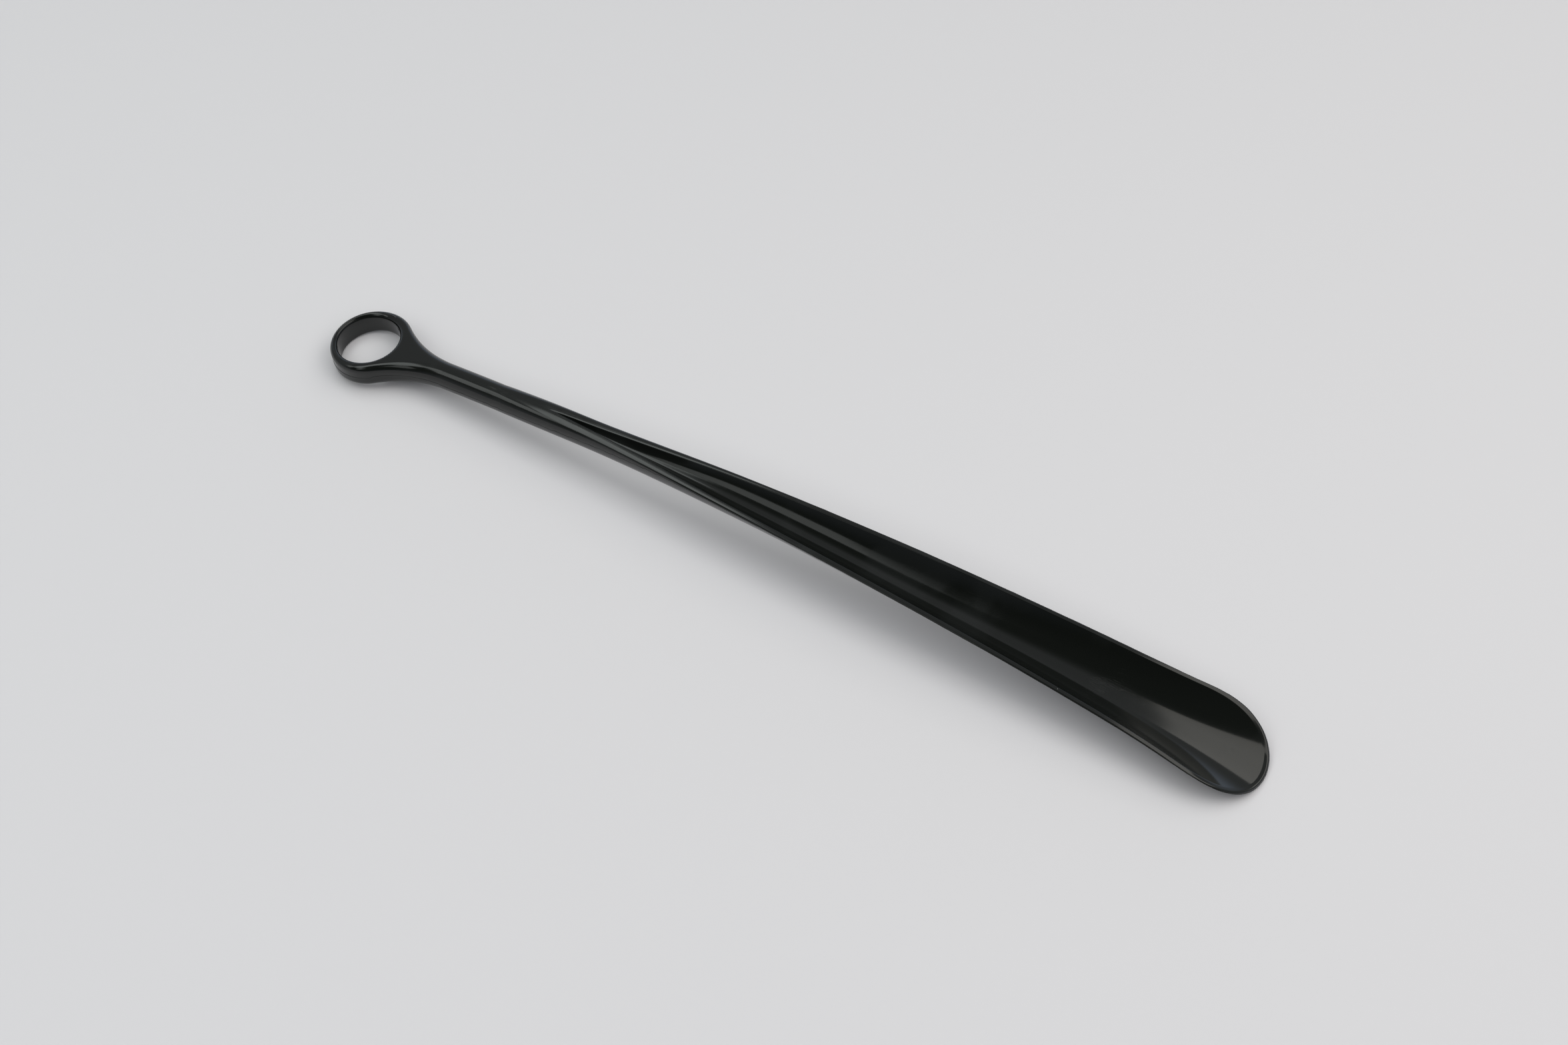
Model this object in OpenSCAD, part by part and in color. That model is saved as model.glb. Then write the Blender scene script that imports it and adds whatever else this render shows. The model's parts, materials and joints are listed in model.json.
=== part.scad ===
// Long shoehorn: one glossy moulding with a finger ring, a round stem and a hollow blade.
// It lies on the free end of its ring and on the tip of its blade, with the hollow side up.
// The moulding is drawn region by region, and the regions meet on planes square to its spine.
// Every place on it is given by s, the distance along the spine from the middle of the ring.

/* [Finger ring] */
// Outer diameter of the ring
ring_d = 43.2; // [40:0.2:46]
// Diameter of the hole that a finger or a wall hook goes through
hole_d = 32.8; // [26:0.2:34]
// Distance from the middle of the ring to the middle of the hole, towards the free end
hole_shift = 1.8; // [0:0.2:2.4]
// Height of the ring along its hole
ring_h = 12.8; // [11:0.2:14]
// Rounding of the ring's outer edges
ring_round = 3; // [1:0.5:5]
// Rounding of the hole's edges
hole_round = 1.2; // [0.6:0.2:2]
// Radius of the flare from the ring to the stem
flare_r = 60; // [50:5:75]

/* [Stem] */
// Width of the round stem
stem_w = 13.2; // [12:0.2:15]
// Height of the round stem
stem_h = 14.6; // [13:0.2:16]
// Distance along the spine at which the stem begins to open into the blade
open_s = 82; // [76:1:90]
// Length over which the round shoulders turn into the straight walls of the blade
open_l = 195; // [160:5:230]

/* [Hollow] */
// Distance along the spine at which the hollow begins
groove_s = 114; // [108:1:120]
// Length over which the hollow reaches its full depth
deep_l = 246; // [220:2:260]
// Width of the rim on each side of the hollow
rim_w = 2.7; // [2.2:0.1:3.2]
// Thickness of the floor of the hollow
floor_t = 2.4; // [2:0.1:3.5]
// Length of the blade's rounded end
tip_l = 44; // [38:1:50]
// Roundness of the blade's end in plan, where 2 is an ellipse
tip_power = 2.2; // [2:0.1:2.6]

/* [Hidden] */

// Length of the spine from the middle of the ring to the tip
spine_l = 500;
// Rise of the spine in degrees, at its distance along the spine
RISE = [[0, 6.8], [60, 5.8], [130, 2.4], [250, -0.4], [380, -3.1], [500, -7.2]];
// Half of the width over the rims, at its distance along the spine
LIP = [[open_s, 0], [groove_s, rim_w], [145, 4.6], [215, 10.5], [300, 15.3], [400, 20.1],
       [455, 23.5], [spine_l, 30.2]];
// Height from the underside up to the rims
DEPTH = [[open_s, stem_h], [300, 15.8], [420, 14], [spine_l, 11.5]];
// Share of the full depth that the hollow has, at its share of deep_l
SINK = [[0, 0], [0.065, 0.13], [0.15, 0.25], [0.27, 0.36], [0.41, 0.47], [0.59, 0.68], [0.8, 0.9],
        [1, 1], [1.2, 1]];

stem_s = sqrt(pow(ring_d / 2 + flare_r, 2) - pow(stem_w / 2 + flare_r, 2)); // where the flare ends
flare_s = stem_s * ring_d / (ring_d + 2 * flare_r);                         // where it leaves the ring
throat_s = 215;  // where the throat ends
half_s = 335;    // where the upper half of the blade ends
tip_s = spine_l - tip_l;
open_soft = 0.06;  // softness of the first opening of the stem
open_power = 2.2;  // how early the opening is nearly complete
under_end = 0.8;   // share of the underside that is left outside the rounding of the rim
hollow_end = 0.92; // the same for the hollow
rim_reach = 1.6;   // reach of the rim's rounding
flare_square = 0.5; // squareness of the flare beside the ring, where 1 is round
step = 2.5;      // length of one step along the spine
under_n = 9;     // strips from the middle of the underside to the rim
rim_n = 4;       // strips round the rim
hollow_n = 7;    // strips from the rim to the middle of the hollow
ray_n = 28;      // rays across the blade's rounded end
ring_n = 6;      // strips round the ring's outer edges
hole_n = 4;      // strips round the hole's edges
around_n = 40;   // strips round the flare
along_n = 12;    // strips along the flare
down_n = 6;      // strips down the flare's face on the ring
throat_n = 20;   // strips along the throat
blade_n = 12;    // strips along each half of the blade
chain_n = under_n + rim_n + hollow_n + 1;
black = [0.09, 0.10, 0.10];
$fn = 72;

// Value at s of the smooth curve through the stations in list
function steepness(list, i) =
    let (a = max(i - 1, 0), b = min(i + 1, len(list) - 1))
    (list[b][1] - list[a][1]) / (list[b][0] - list[a][0]);
function span_at(list, s, i = 0) = (i == len(list) - 2 || s < list[i + 1][0]) ? i : span_at(list, s, i + 1);
function curve(list, s) =
    let (x = min(max(s, list[0][0]), list[len(list) - 1][0]),
         i = span_at(list, x),
         run = list[i + 1][0] - list[i][0],
         t = (x - list[i][0]) / run)
    (1 + 2 * t) * pow(1 - t, 2) * list[i][1]
    + t * pow(1 - t, 2) * run * steepness(list, i)
    + t * t * (3 - 2 * t) * list[i + 1][1]
    + t * t * (t - 1) * run * steepness(list, i + 1);

// The spine, summed in short steps from the middle of the ring, before it is laid down
SPINE = [for (i = 0, x = 0, z = 0; i <= spine_l / step;
              a = curve(RISE, (i + 0.5) * step),
              x = x + step * cos(a), z = z + step * sin(a), i = i + 1) [x, z]];
function spine(s) =
    let (i = min(floor(s / step), len(SPINE) - 2))
    SPINE[i] + (SPINE[i + 1] - SPINE[i]) * (s / step - i);
function raw_place(s, y, n) =
    let (p = spine(s), a = curve(RISE, s))
    [p[0] - n * sin(a), y, p[1] + n * cos(a)];

// Shape of the section at s: y is measured sideways and n square to the spine
function smooth(t) = let (q = min(max(t, 0), 1)) q * q * (3 - 2 * q);
function opening(s) =
    let (x = max(0, (s - open_s) / open_l), q = min(1, x * x / (x + open_soft)))
    1 - pow(1 - q, open_power);
function lip(s) = s < open_s ? 0 : curve(LIP, s);
function depth(s) = curve(DEPTH, s);
function rim_n_at(s) = let (m = opening(s)) (1 - m) * stem_h / 2 + m * (depth(s) - stem_h / 2);
function hollow_w(s) = max(0, lip(s) - rim_w);
function hollow_d(s) = (depth(s) - floor_t) * curve(SINK, (s - groove_s) / deep_l);
function under(s, t) =
    let (m = opening(s))
    [(1 - m) * stem_w / 2 * sin(180 * t) + lip(s) * sin(90 * t),
     -(1 - m) * stem_h / 2 * cos(180 * t) + m * (depth(s) * pow(sin(90 * t), 2) - stem_h / 2)];
function hollow(s, w) = [hollow_w(s) * w, rim_n_at(s) - hollow_d(s) * (1 - w * w)];

// A rounded rim between the end of the underside and the start of the hollow
function bezier(a, b, c, d, t) =
    pow(1 - t, 3) * a + 3 * t * pow(1 - t, 2) * b + 3 * t * t * (1 - t) * c + pow(t, 3) * d;
function onward(p, q, reach) = norm(q - p) < 0.001 ? q : q + (q - p) / norm(q - p) * reach;
function rim(before, first, last, after, reach) =
    let (b = onward(before, first, reach), c = onward(after, last, reach))
    [for (k = [1 : rim_n - 1]) bezier(first, b, c, last, k / rim_n)];

// Half of the outline at s, from the middle of the underside, over the rim, to the middle of the hollow
function trim(s) = max(0.02, min(1, lip(s) / rim_w));
function half_section(s) =
    let (last_t = 1 - (1 - under_end) * trim(s),
         last_w = 1 - (1 - hollow_end) * min(1, hollow_w(s) / rim_w),
         reach = hollow_w(s) > 0 ? rim_reach * trim(s) : 0.01)
    concat(
        [for (k = [0 : under_n]) under(s, last_t * k / under_n)],
        rim(under(s, last_t - 0.01), under(s, last_t), hollow(s, last_w), hollow(s, last_w - 0.01), reach),
        [for (k = [0 : hollow_n]) hollow(s, last_w * (1 - k / hollow_n))]);

// The blade's rounded end: rays from the middle of its start, where a is the ray's angle
function end_under(a, w) =
    let (s = tip_s + w * tip_l * pow(cos(a), 2 / tip_power),
         edge_s = tip_s + tip_l * pow(cos(a), 2 / tip_power),
         y = w * lip(edge_s) * sin(a))
    [s, y, depth(s) * pow(y / lip(s), 2) - stem_h / 2];
function end_hollow(a, w) =
    let (s = tip_s + w * (tip_l - rim_w) * pow(cos(a), 2 / tip_power),
         edge_s = tip_s + (tip_l - rim_w) * pow(cos(a), 2 / tip_power),
         y = w * hollow_w(edge_s) * sin(a))
    [s, y, rim_n_at(s) - hollow_d(s) * (1 - pow(y / hollow_w(s), 2))];
function ray(a) =
    let (last_u = sin(90 * under_end))
    concat(
        [for (k = [0 : under_n]) end_under(a, sin(90 * under_end * k / under_n))],
        rim(end_under(a, last_u - 0.01), end_under(a, last_u),
            end_hollow(a, hollow_end), end_hollow(a, hollow_end - 0.01), rim_reach),
        [for (k = [0 : hollow_n]) end_hollow(a, hollow_end * (1 - k / hollow_n))]);
function angle_of(i) = 90 * (2 * i / ray_n - 1);

// The moulding is laid down: its ring and its tip touch the surface, and its middle is at x = 0
ring_tilt = curve(RISE, 0);
edge_r = ring_d / 2 - ring_round;
edge_h = ring_h / 2 - ring_round;
ring_low = -edge_r * sin(ring_tilt) - edge_h * cos(ring_tilt) - ring_round;
ring_left = -edge_r * cos(ring_tilt) - edge_h * sin(ring_tilt) - ring_round;
END = [for (i = [0 : ray_n]) for (p = ray(angle_of(i))) raw_place(p[0], p[1], p[2])];
tip_low = min([for (p = END) p[2]]);
tip_right = max([for (p = END) p[0]]);
lean = atan2(tip_low - ring_low, spine_l);
module laid() {
    translate([-(tip_right + ring_left) / 2, 0, -ring_low]) rotate([0, lean, 0]) children();
}

// A solid between the half outlines given for each station
function loop(half) = concat(
    [for (p = half) [p[0], p[1], p[2]]],
    [for (k = [len(half) - 2 : -1 : 1]) [half[k][0], -half[k][1], half[k][2]]]);
function strip(a, b, c, d) = [[a, b, c], [a, c, d]];
module loft(stations) {
    n = 2 * chain_n - 2;
    last = (len(stations) - 1) * n;
    points = [for (s = stations) for (p = loop([for (q = half_section(s)) raw_place(s, q[0], q[1])])) p];
    sides = [for (i = [0 : len(stations) - 2]) for (j = [0 : n - 1])
             for (f = strip(i * n + j, (i + 1) * n + j, (i + 1) * n + (j + 1) % n, i * n + (j + 1) % n)) f];
    start = end_cap(0, n);
    finish = [for (f = end_cap(last, n)) [f[2], f[1], f[0]]];
    polyhedron(points, concat(sides, start, finish));
}
function end_cap(base, n) = [for (side = [0, 1]) for (k = [0 : floor(chain_n / 2) - 1])
    let (a = cap_index(side, k, n), b = cap_index(side, k + 1, n),
         c = cap_index(side, chain_n - 2 - k, n), d = cap_index(side, chain_n - 1 - k, n))
    for (f = side == 0 ? strip(base + a, base + b, base + c, base + d)
                       : strip(base + d, base + c, base + b, base + a)) f];
function cap_index(side, k, n) = side == 0 ? k : (n - k) % n;

// The flare, as loops from the ring's own surface to the stem
function flare_w(s) = stem_w / 2 + flare_r - sqrt(pow(flare_r, 2) - pow(stem_s - s, 2));
function flare_point(s, a) =
    let (q = smooth((s - flare_s) / (stem_s - flare_s)), e = flare_square * (1 - q) + q)
    [s, flare_w(s) * sign(cos(a)) * pow(abs(cos(a)), e),
     (ring_h * (1 - q) + stem_h * q) / 2 * sign(sin(a)) * pow(abs(sin(a)), e)];
function ring_r_at(n) =
    let (over = min(ring_round, max(0, abs(n) - ring_h / 2 + ring_round)))
    ring_d / 2 - ring_round + sqrt(pow(ring_round, 2) - pow(over, 2));
function on_ring(y, n) = sqrt(pow(ring_r_at(n), 2) - y * y);
function foot_s(a, s, turns = 40) =
    let (p = flare_point(s, a))
    turns == 0 ? s : foot_s(a, max(flare_s, on_ring(min(abs(p[1]), ring_r_at(p[2]) - 1), p[2])), turns - 1);
function in_ring(x, y, n) =
    [x * cos(ring_tilt) - n * sin(ring_tilt), y, x * sin(ring_tilt) + n * cos(ring_tilt)];
module flare() {
    around = around_n;
    along = along_n;
    down = down_n;
    half = around / 2;
    feet = [for (j = [0 : around - 1]) foot_s(360 * j / around, ring_d / 2)];
    loops = [for (i = [0 : along]) for (j = [0 : around - 1])
             let (p = flare_point(feet[j] + (stem_s - feet[j]) * i / along, 360 * j / around))
             i == 0 ? in_ring(p[0], p[1], p[2]) : raw_place(p[0], p[1], p[2])];
    face = [for (j = [1 : half - 1]) for (k = [1 : down - 1])
            let (top = flare_point(feet[j], 360 * j / around), n = top[2] * (1 - 2 * k / down))
            in_ring(on_ring(top[1], n), top[1], n)];
    base = len(loops);
    sides = [for (i = [0 : along - 1]) for (j = [0 : around - 1])
             for (f = strip(i * around + j, i * around + (j + 1) % around,
                            (i + 1) * around + (j + 1) % around, (i + 1) * around + j)) f];
    start = [for (j = [0 : half - 1]) for (k = [0 : down - 1])
             for (f = strip(face_index(j, k, base, around, down), face_index(j, k + 1, base, around, down),
                            face_index(j + 1, k + 1, base, around, down),
                            face_index(j + 1, k, base, around, down)))
             if (f[0] != f[1] && f[1] != f[2] && f[2] != f[0]) f];
    finish = [for (j = [1 : around - 2]) [along * around, along * around + j, along * around + j + 1]];
    polyhedron(concat(loops, face), concat(sides, start, finish));
}
function face_index(j, k, base, around, down) =
    (j == 0 || j == around / 2 || k == 0) ? j
    : k == down ? around - j
    : base + (j - 1) * (down - 1) + k - 1;

// The ring and its hole, turned about the hole's axis
function arc(x, z, r, from, to, n) = [for (k = [0 : n]) [x + r * cos(from + (to - from) * k / n),
                                                         z + r * sin(from + (to - from) * k / n)]];
module disc() {
    rotate_extrude() polygon(concat(
        [[0, -ring_h / 2]], arc(edge_r, -edge_h, ring_round, -90, 0, ring_n),
        arc(edge_r, edge_h, ring_round, 0, 90, ring_n), [[0, ring_h / 2]]));
}
module hole() {
    edge = hole_d / 2 + hole_round;
    level = ring_h / 2 - hole_round;
    reach = ring_h;
    rotate_extrude() polygon(concat(
        [[0, -reach], [edge, -reach]], arc(edge, -level, hole_round, -90, -180, hole_n),
        arc(edge, level, hole_round, 180, 90, hole_n), [[edge, reach], [0, reach]]));
}

module ring() {
    color(black) laid() rotate([0, -ring_tilt, 0]) difference() {
        disc();
        translate([-hole_shift, 0, 0]) hole();
    }
}
module neck() {
    color(black) laid() flare();
}
module stem() {
    color(black) laid() loft([stem_s, for (k = [0 : 2 : 10]) open_s + (groove_s - open_s) * k / 10]);
}
module throat() {
    color(black) laid() loft([for (k = [0 : throat_n]) groove_s + (throat_s - groove_s) * k / throat_n]);
}
module upper_blade() {
    color(black) laid() loft([for (k = [0 : blade_n]) throat_s + (half_s - throat_s) * k / blade_n]);
}
module lower_blade() {
    color(black) laid() loft([for (k = [0 : blade_n]) half_s + (tip_s - half_s) * k / blade_n]);
}
module tip() {
    n = chain_n;
    points = [for (i = [0 : ray_n]) for (p = ray(angle_of(i))) raw_place(p[0], p[1], p[2])];
    sides = [for (i = [0 : ray_n - 1]) for (j = [0 : n - 2])
             for (f = strip(i * n + j, i * n + j + 1, (i + 1) * n + j + 1, (i + 1) * n + j)) f];
    start = [for (k = [0 : floor(n / 2) - 1]) for (f = strip(k, n - 1 - k, n - 2 - k, k + 1)) f];
    last = ray_n * n;
    finish = [for (k = [0 : floor(n / 2) - 1])
              for (f = strip(last + k, last + k + 1, last + n - 2 - k, last + n - 1 - k)) f];
    color(black) laid() polyhedron(points, concat(sides, start, finish));
}

ring();
neck();
stem();
throat();
upper_blade();
lower_blade();
tip();
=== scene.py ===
import json
import math

import bpy
import numpy as np
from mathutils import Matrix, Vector


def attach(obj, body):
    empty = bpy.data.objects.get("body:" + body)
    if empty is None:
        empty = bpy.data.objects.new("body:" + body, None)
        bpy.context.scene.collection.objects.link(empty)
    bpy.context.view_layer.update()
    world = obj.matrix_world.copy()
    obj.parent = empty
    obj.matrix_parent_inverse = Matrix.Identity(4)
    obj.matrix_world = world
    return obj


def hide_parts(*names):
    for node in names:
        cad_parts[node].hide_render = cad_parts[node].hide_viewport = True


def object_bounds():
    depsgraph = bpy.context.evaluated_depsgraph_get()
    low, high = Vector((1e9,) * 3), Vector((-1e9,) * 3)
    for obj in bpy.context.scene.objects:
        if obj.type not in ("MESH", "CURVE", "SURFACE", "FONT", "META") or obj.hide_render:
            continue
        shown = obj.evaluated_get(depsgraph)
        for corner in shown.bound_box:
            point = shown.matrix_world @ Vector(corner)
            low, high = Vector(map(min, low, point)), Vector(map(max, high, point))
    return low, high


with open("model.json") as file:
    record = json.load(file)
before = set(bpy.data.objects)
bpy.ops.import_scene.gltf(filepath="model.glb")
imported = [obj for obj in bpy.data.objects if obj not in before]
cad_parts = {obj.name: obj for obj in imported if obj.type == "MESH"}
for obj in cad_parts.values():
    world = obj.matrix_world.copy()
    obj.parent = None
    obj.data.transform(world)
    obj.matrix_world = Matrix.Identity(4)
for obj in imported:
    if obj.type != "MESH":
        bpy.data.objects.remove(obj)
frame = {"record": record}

# Long shoehorn in glossy black polypropylene: one moulding, its parting edge and its gate mark.
# The moulding is drawn straight, by distance along its spine, then bent along the spine.

mm = 0.001
cadLow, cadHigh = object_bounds()
mounts = {mount["name"]: mount for mount in frame["record"]["mounts"]}
hangHole = mounts["hang_hole"]


def linearFromHex(code):
    # sRGB hex to the linear values that the shader wants
    parts = [int(code[i:i + 2], 16) / 255 for i in (1, 3, 5)]
    return tuple(c / 12.92 if c <= 0.04045 else ((c + 0.055) / 1.055) ** 2.4 for c in parts) + (1.0,)


def addNode(tree, kind, settings=None, links=None):
    # One node; a setting is an attribute of the node or, failing that, the value of an input.
    # A link comes from a socket, or from the first output of a node.
    node = tree.nodes.new(kind)
    for name, value in (settings or {}).items():
        if isinstance(name, str) and hasattr(node, name):
            setattr(node, name, value)
        else:
            node.inputs[name].default_value = value
    for name, origin in (links or {}).items():
        socket = origin.outputs[0] if isinstance(origin, bpy.types.Node) else origin
        tree.links.new(socket, node.inputs[name])
    return node


def smoothStep(t):
    t = np.clip(t, 0, 1)
    return t * t * (3 - 2 * t)


def curveThrough(stations, s):
    # Smooth curve through (distance, value) stations
    x = np.array([p[0] for p in stations], float)
    v = np.array([p[1] for p in stations], float)
    slope = np.empty(len(x))
    slope[1:-1] = (v[2:] - v[:-2]) / (x[2:] - x[:-2])
    slope[0] = (v[1] - v[0]) / (x[1] - x[0])
    slope[-1] = (v[-1] - v[-2]) / (x[-1] - x[-2])
    at = np.clip(s, x[0], x[-1])
    i = np.clip(np.searchsorted(x, at, side="right") - 1, 0, len(x) - 2)
    run = x[i + 1] - x[i]
    t = (at - x[i]) / run
    return ((1 + 2 * t) * (1 - t) ** 2 * v[i] + t * (1 - t) ** 2 * run * slope[i]
            + t * t * (3 - 2 * t) * v[i + 1] + t * t * (t - 1) * run * slope[i + 1])


def meshObject(name, points, faces):
    mesh = bpy.data.meshes.new(name)
    mesh.from_pydata([tuple(p) for p in points], [], faces)
    mesh.validate()
    mesh.polygons.foreach_set("use_smooth", [True] * len(mesh.polygons))
    mesh.update()
    made = bpy.data.objects.new(name, mesh)
    bpy.context.scene.collection.objects.link(made)
    return made


def applyTree(target, tree, values, name):
    # Runs a Geometry Nodes tree on an object and keeps its result as a plain mesh
    modifier = target.modifiers.new(tree.name, "NODES")
    modifier.node_group = tree
    for item in tree.interface.items_tree:
        if item.item_type == "SOCKET" and item.in_out == "INPUT" and item.name in values:
            modifier[item.identifier] = values[item.name]
    bpy.context.view_layer.update()
    graph = bpy.context.evaluated_depsgraph_get()
    mesh = bpy.data.meshes.new_from_object(target.evaluated_get(graph))
    target.modifiers.clear()
    mesh.name = name
    made = bpy.data.objects.new(name, mesh)
    bpy.context.scene.collection.objects.link(made)
    bpy.data.objects.remove(target)
    return made


def newTree(name, inputs):
    # An empty Geometry Nodes tree with a geometry in and out and the named inputs
    tree = bpy.data.node_groups.new(name, "GeometryNodeTree")
    tree.interface.new_socket("Geometry", in_out="INPUT", socket_type="NodeSocketGeometry")
    for label, kind in inputs:
        tree.interface.new_socket(label, in_out="INPUT", socket_type="NodeSocket" + kind)
    tree.interface.new_socket("Geometry", in_out="OUTPUT", socket_type="NodeSocketGeometry")
    return tree


def endTree(tree, given, shape):
    # Real geometry, smooth and with its material, as the tree's result
    real = addNode(tree, "GeometryNodeRealizeInstances", links={"Geometry": shape})
    smooth = addNode(tree, "GeometryNodeSetShadeSmooth", links={"Geometry": real})
    coated = addNode(tree, "GeometryNodeSetMaterial",
                     links={"Geometry": smooth, "Material": given.outputs["Material"]})
    addNode(tree, "NodeGroupOutput", links={"Geometry": coated})


view = {
    "azimuth": 30.28,       # degrees round the object, from straight in front
    "elevation": 53.55,     # degrees above the surface
    "distance": 1.0902,     # m from the target
    "lens": 50.85,          # mm, on a sensor 36 mm wide
    "beyondAxis": 0.0153,   # m that the target lies beyond the moulding's middle line
}

studio = {
    "floorColour": "#d3d2d3",
    "floorRadius": 14.0,    # m
    "height": 1.5,          # m of every softbox above the floor
    "roomDark": "#20231f",  # the dark side of the room
    "roomPale": "#999b9d",  # the rest of it
    "horizon": "#c9d6e8",   # the low walls beyond the object, lit through windows
    "frontShare": 0.12,     # how much of that the walls in front have
    "darkSide": (0.30, -1.20, 1.0),  # where that side lies, as a direction
    "darkEdge": (0.45, 0.88),        # cosines from that direction between which it fades in
    "horizonEdge": (0.06, 0.42),     # rise between which the horizon gives way to the upper walls
    "backEdge": (-0.15, 0.35),       # the same from the front walls to those beyond the object
    "paperSides": 96,                # corners of the floor's outline
    "paperRoughness": 0.75,
    "paperGloss": 0.25,
}
# Middle and size in m, turn in degrees, glow as the brightness of its surface
softboxes = {
    "keySoftbox": {"middle": (0.90, 0.93), "size": (1.20, 2.20), "turn": 0,
                   "glow": 1.45, "colour": "#fffcf4"},
    "leftSoftbox": {"middle": (-0.83, -0.10), "size": (0.52, 2.05), "turn": 0,
                    "glow": 2.0, "colour": "#f8fffc"},
    "frontSoftbox": {"middle": (-0.60, -2.10), "size": (0.62, 1.75), "turn": -11,
                     "glow": 1.05, "colour": "#fafffc"},
    "sideSoftbox": {"middle": (-1.55, -1.30), "size": (0.45, 1.60), "turn": -28,
                    "glow": 1.5, "colour": "#fafffc"},
    # A wide diffuser overhead that softens the shadows and is not mirrored in the plastic
    "fillSoftbox": {"middle": (1.1, -0.9), "size": (5.0, 4.4), "turn": 0, "glow": 1.02,
                    "colour": "#fdfcff", "height": 2.4, "mirrored": False},
}


def makeCamera():
    middle = (cadLow + cadHigh) / 2
    target = Vector((middle.x, middle.y + view["beyondAxis"], cadLow.z))
    turn, rise = math.radians(view["azimuth"]), math.radians(view["elevation"])
    back = Vector((math.sin(turn) * math.cos(rise), -math.cos(turn) * math.cos(rise), math.sin(rise)))
    data = bpy.data.cameras.new("camera")
    data.lens = view["lens"]
    data.sensor_width = 36
    data.clip_start, data.clip_end = 0.01, 100
    camera = bpy.data.objects.new("camera", data)
    camera.location = target + back * view["distance"]
    camera.rotation_euler = (-back).to_track_quat("-Z", "Y").to_euler()
    bpy.context.scene.collection.objects.link(camera)
    bpy.context.scene.camera = camera


def makeFloor(level):
    # A seamless sheet of matt white paper
    count, radius = studio["paperSides"], studio["floorRadius"]
    angles = [2 * math.pi * i / count for i in range(count)]
    rim = [(radius * math.cos(angle), radius * math.sin(angle), level) for angle in angles]
    floor = meshObject("paperFloor", rim, [list(range(count))])
    paper = bpy.data.materials.new("mattPaper")
    paper.use_nodes = True
    shader = paper.node_tree.nodes["Principled BSDF"]
    shader.inputs["Base Color"].default_value = linearFromHex(studio["floorColour"])
    shader.inputs["Roughness"].default_value = studio["paperRoughness"]
    shader.inputs["Specular IOR Level"].default_value = studio["paperGloss"]
    floor.data.materials.append(paper)


def addSoftbox(name, box):
    data = bpy.data.lights.new(name, "AREA")
    data.shape = "RECTANGLE"
    data.size, data.size_y = box["size"]
    data.energy = math.pi * box["size"][0] * box["size"][1] * box["glow"]
    data.color = linearFromHex(box["colour"])[:3]
    lamp = bpy.data.objects.new(name, data)
    lamp.location = (*box["middle"], cadLow.z + box.get("height", studio["height"]))
    lamp.visible_glossy = box.get("mirrored", True)
    lamp.rotation_euler = (0, 0, math.radians(box["turn"]))
    bpy.context.scene.collection.objects.link(lamp)


def makeLight():
    for name, box in softboxes.items():
        addSoftbox(name, box)
    # The room: pale walls, and a dark side where nothing is lit
    world = bpy.data.worlds.new("studioRoom")
    bpy.context.scene.world = world
    world.use_nodes = True
    tree = world.node_tree
    place = addNode(tree, "ShaderNodeTexCoord").outputs["Generated"]
    facing = addNode(tree, "ShaderNodeVectorMath",
                     {"operation": "DOT_PRODUCT", 1: Vector(studio["darkSide"]).normalized()}, {0: place})
    dark = addNode(tree, "ShaderNodeMapRange",
                   {"interpolation_type": "SMOOTHSTEP", "From Min": studio["darkEdge"][0],
                    "From Max": studio["darkEdge"][1]}, {"Value": facing.outputs["Value"]})
    parts = addNode(tree, "ShaderNodeSeparateXYZ", links={0: place})
    high = addNode(tree, "ShaderNodeMapRange",
                   {"interpolation_type": "SMOOTHSTEP", "From Min": studio["horizonEdge"][0],
                    "From Max": studio["horizonEdge"][1]}, {"Value": parts.outputs["Z"]})
    upper = addNode(tree, "ShaderNodeMix",
                    {"data_type": "RGBA", 6: linearFromHex(studio["roomPale"]),
                     7: linearFromHex(studio["roomDark"])}, {0: dark})
    back = addNode(tree, "ShaderNodeMapRange",
                   {"From Min": studio["backEdge"][0], "From Max": studio["backEdge"][1],
                    "To Min": studio["frontShare"], "To Max": 1.0}, {"Value": parts.outputs["Y"]})
    low = addNode(tree, "ShaderNodeMath", {"operation": "SUBTRACT", 0: 1.0}, {1: high})
    pale = addNode(tree, "ShaderNodeMath", {"operation": "MULTIPLY"}, {0: low, 1: back})
    whole = addNode(tree, "ShaderNodeMix", {"data_type": "RGBA", 7: linearFromHex(studio["horizon"])},
                    {0: pale, 6: upper.outputs[2]})
    tree.links.new(whole.outputs[2], tree.nodes["Background"].inputs["Color"])
    bpy.context.scene.view_settings.view_transform = "Standard"


makeCamera()
makeLight()
print("camera and light made")


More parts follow.
